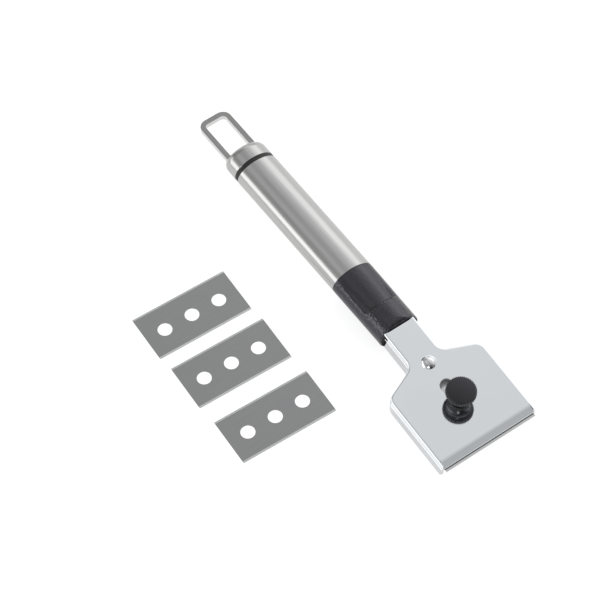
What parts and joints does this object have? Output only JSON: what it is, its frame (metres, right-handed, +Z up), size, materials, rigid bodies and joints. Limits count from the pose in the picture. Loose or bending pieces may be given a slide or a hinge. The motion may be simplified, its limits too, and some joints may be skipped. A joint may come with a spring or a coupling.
{
  "type": "ceramic hob scraper",
  "caption": "Flat razor-blade scraper for glass hobs with an oval steel handle, soft grip, chrome head, thumb-knob clamp with a sliding blade, hanging loop and loose spare blades.",
  "frame": {"origin": "centre of the whole set's bounding box, at the level of the table it lies on", "axes": "+X along the scraper towards its blade, +Y towards the side away from the spare blades, +Z up"},
  "size_m": [0.1934, 0.1038, 0.0198],
  "materials": {
    "satin_steel": "satin, brushed along the handle",
    "loop_steel": "brushed",
    "plain_steel": "plain",
    "head_chrome": "polished",
    "rivet_chrome": "polished",
    "blade_steel": "satin with ground edges",
    "soft_grip": "fine-grained soft touch",
    "seal_rubber": "satin",
    "dark_plastic": "moulded",
    "knob_black": "satin",
    "washer_nylon": "satin",
    "insert_brass": "plain"
  },
  "bodies": {
    "handle": {"hanging_loop": "loop_steel", "loop_pin": "plain_steel", "end_cap": "satin_steel", "end_plug": "dark_plastic", "seal_ring": "seal_rubber", "handle_tube": "satin_steel", "handle_core": "dark_plastic", "tang_pins": "plain_steel", "grip": "soft_grip", "base_channel": "head_chrome", "cover_plate": "head_chrome", "neck_rivet": "rivet_chrome", "rivet_spacer": "plain_steel"},
    "slider": {"blade_carrier": "plain_steel", "carrier_pegs": "plain_steel", "clamp_stud": "plain_steel", "scraper_blade": "blade_steel"},
    "washer": {"clamp_washer": "washer_nylon"},
    "knob": {"thumb_knob": "knob_black", "knob_insert": "insert_brass"},
    "spare_1": {"spare_blade_1": "blade_steel"},
    "spare_2": {"spare_blade_2": "blade_steel"},
    "spare_3": {"spare_blade_3": "blade_steel"}
  },
  "joints": [
    {"name": "blade_slide", "type": "slide", "parent": "handle", "child": "slider", "axis": [0.9957, 0, -0.0922], "range_m": [-0.008, 0]},
    {"name": "knob_lift", "type": "slide", "parent": "slider", "child": "washer", "axis": [0.0922, 0, 0.9957], "range_m": [0, 0.0014]},
    {"name": "knob_turn", "type": "hinge", "parent": "washer", "child": "knob", "pos_m": [0.07606, 0.02925, 0.00988], "axis": [0.0922, 0, 0.9957], "range_deg": [0, 720]},
    {"name": "spare_1_lift", "type": "slide", "parent": "handle", "child": "spare_1", "axis": [0, 0, 1], "range_m": [0, 0.03]},
    {"name": "spare_2_lift", "type": "slide", "parent": "handle", "child": "spare_2", "axis": [0, 0, 1], "range_m": [0, 0.03]},
    {"name": "spare_3_lift", "type": "slide", "parent": "handle", "child": "spare_3", "axis": [0, 0, 1], "range_m": [0, 0.03]}
  ],
  "couplings": [
    {"joint": "knob_turn", "follows": "knob_lift", "rad_per_m": 8976}
  ]
}
